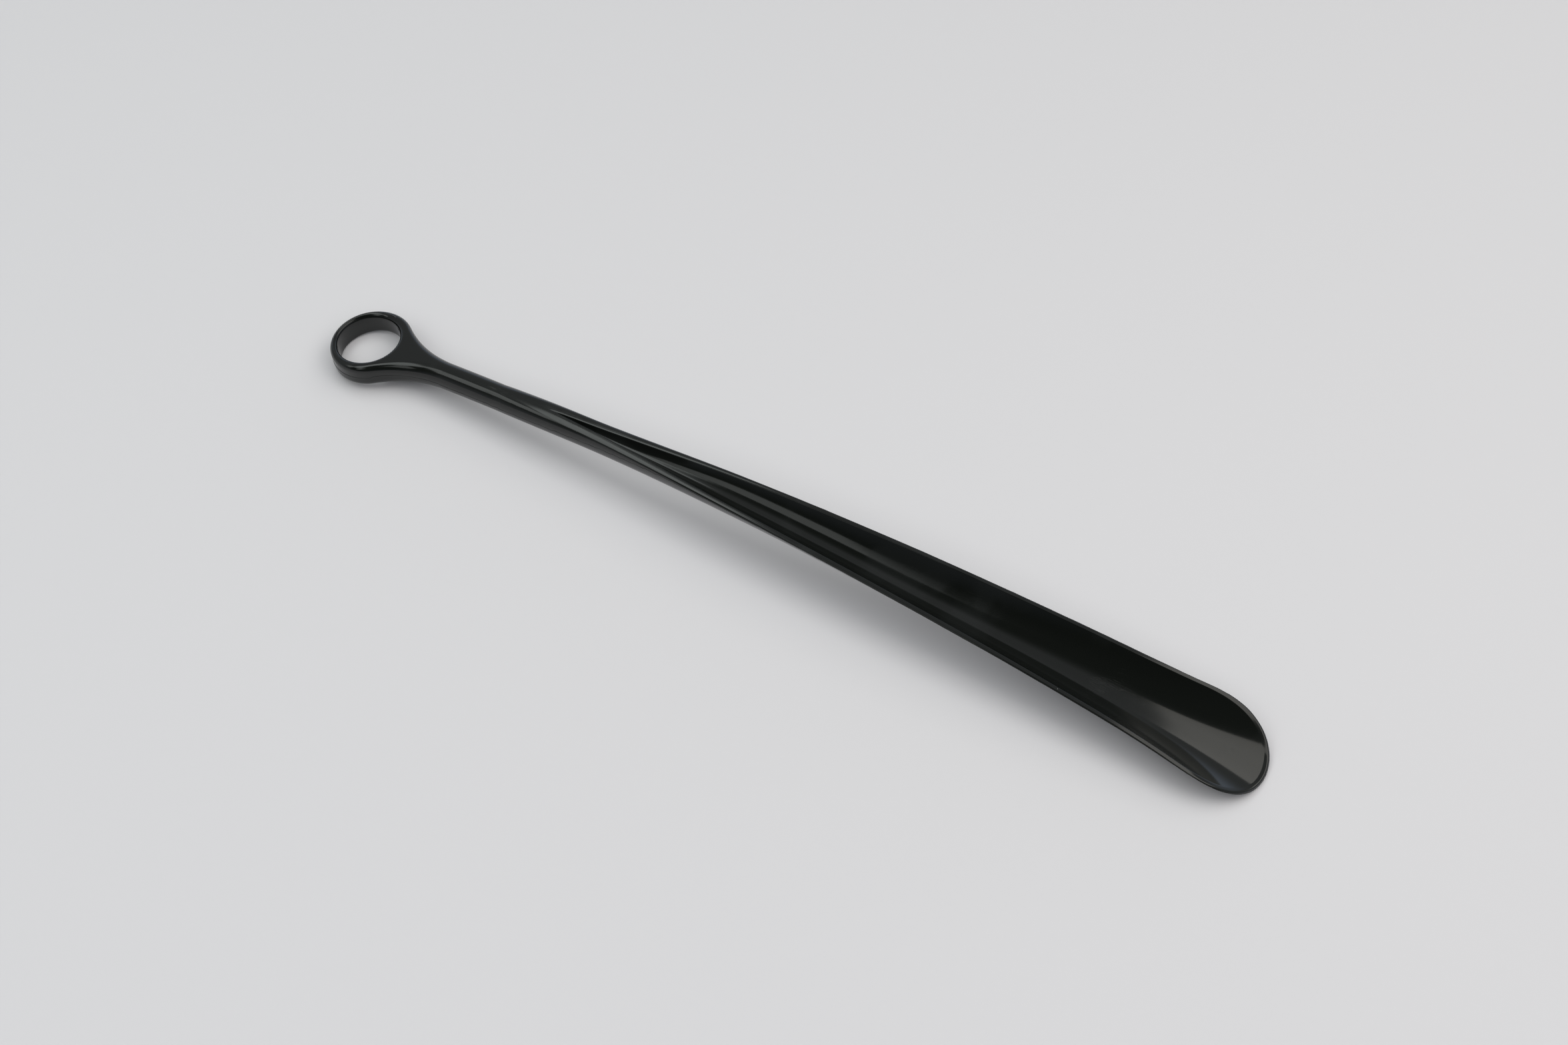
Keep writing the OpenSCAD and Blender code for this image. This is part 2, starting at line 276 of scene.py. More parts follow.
# All in mm. s runs along the spine from the middle of the ring, y sideways, n square to the spine.
moulding = {
    "ringAcross": 43.2,
    "holeAcross": 2 * hangHole["dims"]["r_mm"],
    "holeShift": 1.8,
    "ringHalfHeight": 6.4,
    "ringRound": [(-21.6, 2.0), (-6, 2.9), (12, 3.3), (30, 5.2), (47.15, 6.6)],      # outer edge, in plan
    "ringRoundTall": [(-21.6, 2.4), (-6, 3.1), (12, 3.6), (30, 5.7), (47.15, 7.3)],  # the same in height
    "holeRound": [(-21.6, 1.5), (-8, 2.3), (20, 2.6)],
    "flareRadius": 60,
    "stemHalfWidth": 6.6,
    "stemHalfHeight": 7.3,
    "openStart": 82,
    "openLength": 195,
    "grooveStart": 114,
    "deepLength": 246,
    "sink": [(0, 0), (0.065, 0.17), (0.15, 0.31), (0.27, 0.40), (0.41, 0.49), (0.59, 0.68),
             (0.8, 0.9), (1, 1), (1.2, 1)],   # share of the full depth, at a share of deepLength
    "rimWidth": 2.7,
    "floorThickness": 2.4,
    "tipLength": 44,
    "tipPower": 2.2,
    "spineLength": 500,
    "rise": [(0, 6.8), (60, 5.8), (130, 2.4), (250, -0.4), (380, -3.1), (500, -7.2)],
    "lip": [(82, 0), (114, 2.7), (145, 4.6), (215, 10.5), (300, 15.3), (400, 20.1), (455, 23.5),
            (500, 30.2)],
    "depth": [(82, 14.6), (300, 15.8), (420, 14), (500, 11.5)],
    "tipBead": 0.55,     # how much the rim stands above the hollow's brink at the very end
    "tipBeadRise": 1.6,  # how soon it gets to that height from the sides of the tip
    "outerEdge": 1.9,    # how far the rounding of the rim's outer edge reaches
    "outerRoom": 0.72,   # the most of the rim's width that this may take
    "innerEdge": 0.45,   # the same two at the edge of the hollow
    "innerRoom": 0.26,
    "edgeSoftness": 0.85,  # share of each reach that the rounding uses
    "openSoftness": 0.06,  # how gently the stem begins to open
    "openPower": 2.2,      # how early the opening is nearly complete
    "growFrom": 8,         # where the ring's height begins to grow into the stem's
    "gatherFrom": 55,      # where the points along a section begin to gather at its edges
    "gatherOver": 55,
    "flareWindow": 56,     # degrees of the ring, to each side, that the flare grows out of
    "lead": 30.0,          # straight spine before the middle of the ring
}
counts = {
    "under": 26, "outer": 14, "top": 5, "inner": 10, "hollow": 28,   # faces across half of the section
    "rows": 250,                                                     # faces along stem and blade
    "rays": 72,                                                      # faces round the tip
    "flare": 26,                                                     # faces along the flare
    "arc": 28, "edge": 10,                                           # faces where the flare leaves it
    "ringRest": 124, "flat": 3, "holeEdge": 7, "holeWall": 8,        # faces round and across the ring
}
# Points of the sharp outline before it is rounded, and of its even copy
samples = {"under": 241, "face": 21, "top": 41, "hollow": 161, "even": 1601}
half = counts["under"] + counts["outer"] + counts["top"] + counts["inner"] + counts["hollow"]
wall = half - 2 * counts["arc"] - 2 * counts["edge"]
stemStart = math.sqrt((moulding["ringAcross"] / 2 + moulding["flareRadius"]) ** 2
                      - (moulding["stemHalfWidth"] + moulding["flareRadius"]) ** 2)
tipStart = moulding["spineLength"] - moulding["tipLength"]


def opening(s):
    x = np.maximum(0, (s - moulding["openStart"]) / moulding["openLength"])
    q = np.minimum(1, x * x / (x + moulding["openSoftness"]))
    return 1 - (1 - q) ** moulding["openPower"]


def lipAt(s):
    return np.where(s < moulding["openStart"], 0, curveThrough(moulding["lip"], s))


def depthAt(s):
    return curveThrough(moulding["depth"], s)


def rimLevel(s):
    m = opening(s)
    return (1 - m) * moulding["stemHalfHeight"] + m * (depthAt(s) - moulding["stemHalfHeight"])


def hollowWidth(s):
    return np.maximum(0, lipAt(s) - moulding["rimWidth"])


def hollowDepth(s):
    share = curveThrough(moulding["sink"], (s - moulding["grooveStart"]) / moulding["deepLength"])
    return (depthAt(s) - moulding["floorThickness"]) * share


def underCurve(s, t):
    m = opening(s)
    turn, quarter = np.pi * t, np.pi / 2 * t
    y = (1 - m) * moulding["stemHalfWidth"] * np.sin(turn) + lipAt(s) * np.sin(quarter)
    n = (-(1 - m) * moulding["stemHalfHeight"] * np.cos(turn)
         + m * (depthAt(s) * np.sin(quarter) ** 2 - moulding["stemHalfHeight"]))
    return np.stack([np.full_like(y, s), y, n], -1)


def between(a, b, count):
    t = np.linspace(0, 1, count)[:, None]
    return a * (1 - t) + b * t


def rowOutline(s):
    # Sharp half outline of the section at s: underside, rim and hollow
    under = underCurve(s, np.linspace(0, 1, samples["under"]))
    w = np.linspace(1, 0, samples["hollow"])
    width, level = hollowWidth(s), rimLevel(s)
    hollow = np.stack([np.full_like(w, s), width * w, level - hollowDepth(s) * (1 - w * w)], -1)
    rim = between(under[-1], hollow[0], samples["top"])
    return under, between(under[-1], under[-1], 2), rim, hollow


def rayOutline(angle):
    # The same along a ray of the tip, whose end also has a face between underside and rim
    reach = np.cos(angle) ** (2 / moulding["tipPower"]) if abs(angle) < np.pi / 2 - 1e-9 else 0.0
    side = np.sin(angle)
    t = np.sin(np.linspace(0, np.pi / 2, samples["under"]))
    edgeS = tipStart + moulding["tipLength"] * reach
    s, y = tipStart + t * (edgeS - tipStart), t * lipAt(edgeS) * side
    under = np.stack([s, y, depthAt(s) * (y / lipAt(s)) ** 2 - moulding["stemHalfHeight"]], -1)
    w = np.linspace(1, 0, samples["hollow"])
    innerS = tipStart + (moulding["tipLength"] - moulding["rimWidth"]) * reach
    s, y = tipStart + w * (innerS - tipStart), w * hollowWidth(innerS) * side
    hollow = np.stack([s, y, rimLevel(s) - hollowDepth(s) * (1 - (y / hollowWidth(s)) ** 2)], -1)
    brink = under[-1].copy()
    bead = moulding["tipBead"] * float(smoothStep(moulding["tipBeadRise"] * reach))
    brink[2] = max(brink[2], hollow[0][2]) + bead
    face = between(under[-1], brink, samples["face"])
    return under, face, between(brink, hollow[0], samples["top"]), hollow


def sweepOf(line):
    return np.concatenate([[0], np.cumsum(np.linalg.norm(np.diff(line, axis=0), axis=1))])


def roundedChain(outline, share):
    # Rounds the two edges of the rim and spaces the points: evenly where share is 0, and gathered
    # at the edges where it is 1
    under, face, top, hollow = outline
    line = np.concatenate([under, face[1:], top[1:], hollow[1:]])
    path = sweepOf(line)
    total = path[-1]
    foot = path[len(under) - 1]
    brink = path[len(under) + len(face) - 2]
    inner = path[len(under) + len(face) + len(top) - 3]
    room = inner - brink
    outerReach = min(moulding["outerEdge"], moulding["outerRoom"] * room + 0.01)
    innerReach = min(moulding["innerEdge"], moulding["innerRoom"] * room + 0.01)
    stops = [0, max(foot - outerReach, 0.02), brink + outerReach, inner - innerReach,
             min(inner + innerReach, total), total]
    parts = [counts["under"], counts["outer"], counts["top"], counts["inner"], counts["hollow"]]
    stops = np.maximum.accumulate(stops)
    gathered = np.concatenate([[0]] + [np.linspace(stops[i], stops[i + 1], part + 1)[1:]
                                       for i, part in enumerate(parts)])
    even = np.linspace(0, total, half + 1)
    places = (1 - share) * even + share * gathered
    fine = np.linspace(0, total, samples["even"])
    dense = np.stack([np.interp(fine, path, line[:, k]) for k in range(3)], -1)
    steps = (dense[1:] + dense[:-1]) / 2 * (fine[1] - fine[0])
    sums = np.concatenate([[np.zeros(3)], np.cumsum(steps, axis=0)])
    # Reach of the averaging at each place: wide at the outer edge, small at the inner one, and
    # nothing elsewhere
    far = np.clip(1 - np.maximum(0, np.maximum(foot - places, places - brink)) / (2 * outerReach), 0, 1)
    near = np.clip(1 - np.abs(places - inner) / (2 * innerReach), 0, 1)
    span = np.maximum(smoothStep(far) * outerReach, smoothStep(near) * innerReach)
    span = span * moulding["edgeSoftness"]
    span = np.minimum(span, np.minimum(places, total - places))
    rounded = np.stack([np.interp(places, fine, dense[:, k]) for k in range(3)], -1)
    wide = span > 1e-4
    for k in range(3):
        high = np.interp(places[wide] + span[wide], fine, sums[:, k])
        low = np.interp(places[wide] - span[wide], fine, sums[:, k])
        rounded[wide, k] = (high - low) / (2 * span[wide])
    return rounded


# The ring and the flare lie on one smooth surface, and their points are drawn to it
def outsidePlan(x, y):
    # Distance outside the plan outline of ring, flare and stem; negative inside it
    y = np.abs(y)
    centreX, centreY = stemStart, moulding["stemHalfWidth"] + moulding["flareRadius"]
    onRing = x * centreY < y * centreX
    onRing |= x < 0
    ring = np.hypot(x, y) - moulding["ringAcross"] / 2
    flare = moulding["flareRadius"] - np.hypot(x - centreX, y - centreY)
    stem = y - moulding["stemHalfWidth"]
    return np.where(onRing, ring, np.where(x < stemStart, flare, stem))


def halfHeight(x):
    low, high, start = moulding["ringHalfHeight"], moulding["stemHalfHeight"], moulding["growFrom"]
    return low + (high - low) * smoothStep((x - start) / (stemStart - start))


def outsideBody(p):
    x, y, n = p.T
    inPlan, inHeight = curveThrough(moulding["ringRound"], x), curveThrough(moulding["ringRoundTall"], x)
    a = np.maximum(0, outsidePlan(x, y) + inPlan) / inPlan
    b = np.maximum(0, np.abs(n) - halfHeight(x) + inHeight) / inHeight
    return np.sqrt(a * a + b * b + 1e-12) - 1


def outsideHole(p):
    x, y, n = p.T
    size = curveThrough(moulding["holeRound"], x)
    a = np.maximum(0, moulding["holeAcross"] / 2 - np.hypot(x + moulding["holeShift"], y) + size) / size
    b = np.maximum(0, np.abs(n) - halfHeight(x) + size) / size
    return np.sqrt(a * a + b * b + 1e-12) - 1


def drawnTo(surface, p):
    # Steps towards the surface, none longer than the stride, with its slope taken over the probe
    turns, probe, stride = 30, 1e-4, 1.0
    p = p.copy()
    for _ in range(turns):
        value = surface(p)
        slope = np.stack([(surface(p + step) - surface(p - step)) / (2 * probe)
                          for step in np.eye(3) * probe], -1)
        size = np.maximum((slope ** 2).sum(1), 1e-8)
        move = slope * (value / size)[:, None]
        length = np.linalg.norm(move, axis=1)
        move *= np.minimum(1, stride / np.maximum(length, 1e-9))[:, None]
        p -= move
    return p


def buildMoulding():
    points, faces = [], []

    def keep(rows):
        start = sum(len(block) for block in points)
        points.append(np.asarray(rows, float))
        return np.arange(start, start + len(rows))

    def fill(a, b, turned=False):
        # Faces between two equally long rows of point numbers
        for i in range(len(a) - 1):
            face = [a[i], a[i + 1], b[i + 1], b[i]]
            face = [f for k, f in enumerate(face) if f != face[k - 1]]
            if len(face) > 2:
                faces.append([int(f) for f in (face[::-1] if turned else face)])

    # Stem, throat and blade: closed rows from the flare to the tip
    stations = np.linspace(stemStart, tipStart, counts["rows"] + 1)
    rows = []
    for s in stations:
        share = float(smoothStep((s - moulding["gatherFrom"]) / moulding["gatherOver"]))
        chain = roundedChain(rowOutline(s), share)
        other = chain[1:-1][::-1] * [1, -1, 1]
        ids = keep(np.concatenate([chain, other]))
        rows.append(np.append(ids, ids[0]))
    for a, b in zip(rows[:-1], rows[1:]):
        fill(a, b)

    # Tip: rays from the middle of the last row, which is also the first and the last ray
    last = rows[-1]
    left, right = last[:half + 1], last[half:][::-1]
    rays = [right]
    for k in range(1, counts["rays"]):
        chain = roundedChain(rayOutline(np.pi * (k / counts["rays"] - 0.5)), 1.0)
        ids = keep(chain[1:-1])
        rays.append(np.concatenate([[right[0]], ids, [right[-1]]]))
    rays.append(left)
    for a, b in zip(rays[:-1], rays[1:]):
        fill(a, b, turned=True)

    # Ring: rows round the hole, at every angle
    arc, edge = counts["arc"], counts["edge"]
    window = math.radians(moulding["flareWindow"])
    angles = np.concatenate([np.linspace(-window, window, 2 * arc + 1),
                             np.linspace(window, 2 * np.pi - window, counts["ringRest"] + 1)[1:-1]])
    flat, holeEdge, holeWall = counts["flat"], counts["holeEdge"], counts["holeWall"]
    height, leastFlat = moulding["ringHalfHeight"], 0.05
    outerRows, innerRows = [], []
    for angle in angles:
        along = np.array([math.cos(angle), math.sin(angle)])
        outer = along * moulding["ringAcross"] / 2
        inner = along * moulding["holeAcross"] / 2 - [moulding["holeShift"], 0]
        plan = float(curveThrough(moulding["ringRound"], outer[0]))
        tall = float(curveThrough(moulding["ringRoundTall"], outer[0]))
        size = float(curveThrough(moulding["holeRound"], inner[0]))
        join = outer - along * min(plan, np.linalg.norm(outer - inner) - size - leastFlat)
        hem = inner + along * size
        turns = np.linspace(0, np.pi / 2, holeEdge + 1)
        upper = [np.append(hem - along * size * math.sin(t), height - size * (1 - math.cos(t)))
                 for t in turns]
        level = [np.append(join + (hem - join) * k / flat, height) for k in range(flat)]
        down = height - size
        wallPart = [np.append(inner, down * (1 - 2 * k / holeWall)) for k in range(1, holeWall)]
        lower = [p * [1, 1, -1] for p in (level + upper)[::-1]]
        innerRows.append(level + upper + wallPart + lower)
        rounding = [np.append(outer - along * plan * (1 - math.sin(t)), height - tall * (1 - math.cos(t)))
                    for t in np.linspace(0, np.pi / 2, edge + 1)]
        down = height - tall
        wallPart = [np.append(outer, down * (1 - 2 * k / wall)) for k in range(1, wall)]
        outerRows.append(rounding[1:] + wallPart + [p * [1, 1, -1] for p in rounding[:0:-1]])
    innerRows, outerRows = np.array(innerRows), np.array(outerRows)
    split = flat + 1
    walls = innerRows[:, split:-split]
    innerRows[:, split:-split] = drawnTo(outsideHole, walls.reshape(-1, 3)).reshape(walls.shape)
    innerRows[:, :split, 2] = halfHeight(innerRows[:, :split, 0])
    innerRows[:, -split:, 2] = -halfHeight(innerRows[:, -split:, 0])
    outerRows = drawnTo(outsideBody, outerRows.reshape(-1, 3)).reshape(outerRows.shape)
    innerIds = [keep(row) for row in innerRows]
    innerIds.append(innerIds[0])
    for a, b in zip(innerIds[:-1], innerIds[1:]):
        fill(a, b, turned=True)
    around = list(range(2 * arc, len(angles))) + [0]
    outerIds = {k: np.concatenate([innerIds[k][:1], keep(outerRows[k]), innerIds[k][-1:]]) for k in around}
    for a, b in zip(around[:-1], around[1:]):
        fill(outerIds[a], outerIds[b])

    # Flare: rows from the ring's open side to the stem
    tops = [innerIds[k][0] for k in range(2 * arc + 1)]
    bottoms = [innerIds[k][-1] for k in range(2 * arc + 1)]
    first = np.array(bottoms[arc:] + list(outerIds[2 * arc][::-1][1:-1]) + tops[::-1]
                     + list(outerIds[0][1:-1]) + bottoms[:arc + 1])
    stem = rows[0]
    flatPoints = np.concatenate(points)
    start, finish = flatPoints[first], flatPoints[stem]

    def planHalf(x):
        # Half width of the plan outline
        r, fillet = moulding["ringAcross"] / 2, moulding["flareRadius"]
        leave = stemStart * r / (r + fillet)
        ring = np.sqrt(np.maximum(r * r - np.minimum(x, leave) ** 2, 0))
        inward = np.clip(stemStart - x, 0, fillet)
        flare = moulding["stemHalfWidth"] + fillet - np.sqrt(fillet ** 2 - inward ** 2)
        return np.where(x < leave, ring, flare)

    startY, startN = start[:, 1] / planHalf(start[:, 0]), start[:, 2] / halfHeight(start[:, 0])
    finishY, finishN = finish[:, 1] / moulding["stemHalfWidth"], finish[:, 2] / moulding["stemHalfHeight"]
    share = np.linspace(0, 1, counts["flare"] + 1)[1:-1, None]
    x = start[:-1, 0] * (1 - share) + finish[:-1, 0] * share
    blend = smoothStep(share)
    y = (startY[:-1] * (1 - blend) + finishY[:-1] * blend) * planHalf(x)
    n = (startN[:-1] * (1 - blend) + finishN[:-1] * blend) * halfHeight(x)
    drawn = drawnTo(outsideBody, np.stack([x, y, n], -1).reshape(-1, 3)).reshape(*x.shape, 3)
    flareRows = [first] + [np.append(ids, ids[0]) for ids in (keep(row) for row in drawn)] + [stem]
    for a, b in zip(flareRows[:-1], flareRows[1:]):
        fill(a, b)
    ringRows = [outerIds[k] for k in around]
    return np.concatenate(points), faces, ringRows, flareRows[1:-1], rows, rays


def bendTree():
    # Moves each point from its straight place to its place beside the spine
    tree = newTree("bendAlongSpine", [("Spine", "Object"), ("Lead", "Float"), ("Material", "Material")])
    given = addNode(tree, "NodeGroupInput")
    spine = addNode(tree, "GeometryNodeObjectInfo", {"transform_space": "RELATIVE"},
                    {"Object": given.outputs["Spine"]})
    place = addNode(tree, "GeometryNodeInputPosition")
    parts = addNode(tree, "ShaderNodeSeparateXYZ", links={0: place})
    along = addNode(tree, "ShaderNodeMath", {"operation": "ADD"},
                    {0: parts.outputs["X"], 1: given.outputs["Lead"]})
    sample = addNode(tree, "GeometryNodeSampleCurve", {"mode": "LENGTH", "use_all_curves": True},
                     {"Curves": spine.outputs["Geometry"], "Length": along})
    across = addNode(tree, "ShaderNodeVectorMath", {"operation": "CROSS_PRODUCT", 1: (0, 1, 0)},
                     {0: sample.outputs["Tangent"]})
    raised = addNode(tree, "ShaderNodeVectorMath", {"operation": "SCALE"},
                     {0: across, "Scale": parts.outputs["Z"]})
    sideways = addNode(tree, "ShaderNodeCombineXYZ", links={"Y": parts.outputs["Y"]})
    offset = addNode(tree, "ShaderNodeVectorMath", {"operation": "ADD"}, {0: raised, 1: sideways})
    final = addNode(tree, "ShaderNodeVectorMath", {"operation": "ADD"},
                    {0: sample.outputs["Position"], 1: offset})
    moved = addNode(tree, "GeometryNodeSetPosition",
                    links={"Geometry": given.outputs["Geometry"], "Position": final})
    endTree(tree, given, moved)
    return tree


def makeSpine():
    # The spine as a line of short steps, placed by the hole that the record gives
    axis = Vector(hangHole["axis"])
    tilt = math.atan2(-axis.x, axis.z)
    forward = Vector((math.cos(tilt), 0, math.sin(tilt)))
    hole = Vector(hangHole["pos_m"])
    middle = hole + forward * (moulding["holeShift"] * mm)
    step = 1.0
    spots = [middle - forward * (k * step * mm) for k in range(int(moulding["lead"]), 0, -1)]
    spots.append(middle)
    base = tilt - math.radians(moulding["rise"][0][1])
    spare = 4   # steps past the tip
    for k in range(int(moulding["spineLength"] + spare)):
        angle = base + math.radians(float(curveThrough(moulding["rise"], (k + 0.5) * step)))
        spots.append(spots[-1] + Vector((math.cos(angle), 0, math.sin(angle))) * (step * mm))
    data = bpy.data.curves.new("spine", "CURVE")
    data.dimensions = "3D"
    spline = data.splines.new("POLY")
    spline.points.add(len(spots) - 1)
    spline.points.foreach_set("co", [c for p in spots for c in (p.x, p.y, p.z, 1)])
    spine = bpy.data.objects.new("spine", data)
    bpy.context.scene.collection.objects.link(spine)
    return spine


plastic = {
    "colour": "#111311",    # deep in the plastic
    "bloom": "#1a1c1b",     # where handling has left a film
    "dust": "#8f9290",
    "roughness": 0.11,
    "filmRoughness": 0.165,
    "dustRoughness": 0.5,   # added on a speck
    "ior": 1.49,
    # Size in mm across the blade, stretch along it, and detail of each pattern
    "patterns": {
        "film": (34, 1, 3),
        "scratch": (1.3, 26, 2),
        "scratchPatch": (21, 1, 1),
        "wave": (14.0, 2.5, 1),
        "peel": (1.6, 1, 1),   # coarser than a real mould's polish so that it can be seen
    },
    "filmEdge": (0.50, 0.66),       # pattern values between which a patch fades in
    "filmStrength": 0.6,
    "scratchEdge": (0.003, 0.012),  # the same across a scratch, from its middle line
    "patchEdge": (0.60, 0.66),      # the same for the patches that have scratches
    "waveDepth": 0.016,     # mm
    "peelDepth": 0.0009,    # mm
    "scratchDepth": 0.004,  # mm
    "dustCell": 11.0,       # mm between specks
    "dustSize": 0.20,       # mm, the radius of the largest speck
    "dustBare": 0.55,       # share of the cells that have none
}


def mouldedPolypropylene():
    # Black polypropylene from a polished mould: near black and glossy, with waves that bend its
    # reflections
    finish = bpy.data.materials.new("mouldedPolypropylene")
    finish.use_nodes = True
    tree = finish.node_tree
    shader = tree.nodes["Principled BSDF"]
    shader.inputs["IOR"].default_value = plastic["ior"]
    place = addNode(tree, "ShaderNodeTexCoord").outputs["Object"]
    noise = {}
    for name, (size, stretch, detail) in plastic["patterns"].items():
        scale = tuple(1 / (size * mm * k) for k in (stretch, 1, 1))
        sized = addNode(tree, "ShaderNodeMapping", {"Scale": scale}, {"Vector": place})
        noise[name] = addNode(tree, "ShaderNodeTexNoise", {"Scale": 1.0, "Detail": detail},
                              {"Vector": sized})

    # A film of handling in soft patches: slightly paler and less glossy
    film = addNode(tree, "ShaderNodeMapRange",
                   {"interpolation_type": "SMOOTHSTEP", "From Min": plastic["filmEdge"][0],
                    "From Max": plastic["filmEdge"][1]}, {"Value": noise["film"]})
    # Fine scratches: thin lines along the blade, in rare patches
    centred = addNode(tree, "ShaderNodeMath", {"operation": "SUBTRACT", 1: 0.5}, {0: noise["scratch"]})
    offLine = addNode(tree, "ShaderNodeMath", {"operation": "ABSOLUTE"}, {0: centred})
    line = addNode(tree, "ShaderNodeMapRange",
                   {"interpolation_type": "SMOOTHSTEP", "From Min": plastic["scratchEdge"][0],
                    "From Max": plastic["scratchEdge"][1], "To Min": 1.0, "To Max": 0.0},
                   {"Value": offLine})
    patch = addNode(tree, "ShaderNodeMapRange",
                    {"interpolation_type": "SMOOTHSTEP", "From Min": plastic["patchEdge"][0],
                     "From Max": plastic["patchEdge"][1]}, {"Value": noise["scratchPatch"]})
    scratch = addNode(tree, "ShaderNodeMath", {"operation": "MULTIPLY"}, {0: line, 1: patch})
    # Dust specks: one in each cell, mostly too small to be seen
    cells = addNode(tree, "ShaderNodeTexVoronoi", {"Scale": 1 / (plastic["dustCell"] * mm)},
                    {"Vector": place})
    chance = addNode(tree, "ShaderNodeSeparateColor", links={0: cells.outputs["Color"]})
    reach = addNode(tree, "ShaderNodeMapRange",
                    {"interpolation_type": "SMOOTHSTEP", "From Min": plastic["dustBare"],
                     "To Max": plastic["dustSize"] / plastic["dustCell"]}, {"Value": chance})
    speck = addNode(tree, "ShaderNodeMath", {"operation": "LESS_THAN"},
                    {0: cells.outputs["Distance"], 1: reach})

    # Colour: the plastic, paler under the film and in the scratches, and dust on top
    thinFilm = addNode(tree, "ShaderNodeMath", {"operation": "MULTIPLY", 1: plastic["filmStrength"]},
                       {0: film})
    wear = addNode(tree, "ShaderNodeMath", {"operation": "MAXIMUM"}, {0: thinFilm, 1: scratch})
    worn = addNode(tree, "ShaderNodeMix",
                   {"data_type": "RGBA", 6: linearFromHex(plastic["colour"]),
                    7: linearFromHex(plastic["bloom"])}, {0: wear})
    dusty = addNode(tree, "ShaderNodeMix", {"data_type": "RGBA", 7: linearFromHex(plastic["dust"])},
                    {0: speck, 6: worn.outputs[2]})
    tree.links.new(dusty.outputs[2], shader.inputs["Base Color"])

    # Gloss: clean where it is bare, softer under the film and matt on the dust
    gloss = addNode(tree, "ShaderNodeMapRange",
                    {"interpolation_type": "SMOOTHSTEP", "To Min": plastic["roughness"],
                     "To Max": plastic["filmRoughness"]}, {"Value": film})
    matt = addNode(tree, "ShaderNodeMath", {"operation": "MULTIPLY", 1: plastic["dustRoughness"]},
                   {0: speck})
    rough = addNode(tree, "ShaderNodeMath", {"operation": "ADD"}, {0: gloss, 1: matt})
    tree.links.new(rough.outputs[0], shader.inputs["Roughness"])

    # Height in m: waves from the cooling, the polish of the mould, and the scratches
    wave = addNode(tree, "ShaderNodeMath", {"operation": "MULTIPLY", 1: plastic["waveDepth"] * mm},
                   {0: noise["wave"]})
    peel = addNode(tree, "ShaderNodeMath", {"operation": "MULTIPLY", 1: plastic["peelDepth"] * mm},
                   {0: noise["peel"]})
    groove = addNode(tree, "ShaderNodeMath", {"operation": "MULTIPLY", 1: plastic["scratchDepth"] * mm},
                     {0: scratch})
    skin = addNode(tree, "ShaderNodeMath", {"operation": "ADD"}, {0: wave, 1: peel})
    height = addNode(tree, "ShaderNodeMath", {"operation": "SUBTRACT"}, {0: skin, 1: groove})
    relief = addNode(tree, "ShaderNodeBump", {"Strength": 1.0, "Distance": 1.0}, {"Height": height})
    tree.links.new(relief.outputs[0], shader.inputs["Normal"])
    return finish


glossyBlack = mouldedPolypropylene()
straight, faces, ringRows, flareRows, bladeRows, tipRays = buildMoulding()
print("moulding drawn:", len(straight), "points,", len(faces), "faces")
spine = makeSpine()
body = applyTree(meshObject("straightMoulding", straight * mm, faces), bendTree(),
                 {"Spine": spine, "Lead": moulding["lead"] * mm, "Material": glossyBlack}, "moulding")
bpy.data.objects.remove(spine)
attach(body, "root")
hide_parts("ring", "neck", "stem", "throat", "upper_blade", "lower_blade", "tip")
print("moulding bent along its spine")

# Where the two halves of the mould meet, on the widest line all round, they leave a fine raised line
parting = {
    "radius": 0.16,    # mm
    "spacing": 0.9,    # mm from one ring of points to the next
    "nickCount": 34,   # places along a stretch where a scrap of flash may stay
    "nickChance": 0.4,
    "nickRows": 60,    # rows of the far side that make up such a stretch
    "nickSize": (0.55, 0.20, 0.22),   # mm: along the line, outwards and up
    "nickSpread": (0.45, 1.2),        # smallest and largest, as a share of that
    "swell": (0.6, 1.15),             # the same for the line's radius
    "swellEdge": (0.3, 0.7),          # pattern values between which it changes
    "swellScale": 90.0,               # blotches per m of that change
    "sides": 8,                       # faces round the line
    "seed": 7,
}
gate = {
    "alongRing": 33.0,  # mm from the middle of the ring
    "profile": [(0.0, -0.6), (1.15, -0.6), (1.05, 0.25), (0.85, 0.42), (0.45, 0.46), (0.3, 0.25),
                (0.0, 0.2)],  # mm from its axis and above the surface
    "around": 28,
    "waves": [(3, 0.06, 1.0), (7, 0.04, 0.0)],   # its ragged edge: number, share and start of each
}


def widestPath():
    # Point numbers once round the moulding: ring, near side, tip, far side
    def outermost(ids, side):
        return int(ids[np.argmax(straight[ids, 1] * side)])

    def outermostOnRay(ids):
        return int(ids[np.argmax(np.hypot(straight[ids, 0] - tipStart, straight[ids, 1]))])

    ring = [int(ids[len(ids) // 2]) for ids in ringRows]
    near = [outermost(ids, -1) for ids in flareRows + bladeRows]
    tip = [outermostOnRay(ids) for ids in tipRays[1:-1]]
    far = [outermost(ids, 1) for ids in flareRows + bladeRows][::-1]
    return ring, near, tip, far


def pathObject(name, ids, closed):
    spots = [tuple(body.data.vertices[i].co) for i in ids]
    edges = [(i, i + 1) for i in range(len(spots) - 1)] + ([(len(spots) - 1, 0)] if closed else [])
    mesh = bpy.data.meshes.new(name)
    mesh.from_pydata(spots, edges, [])
    made = bpy.data.objects.new(name, mesh)
    bpy.context.scene.collection.objects.link(made)
    return made


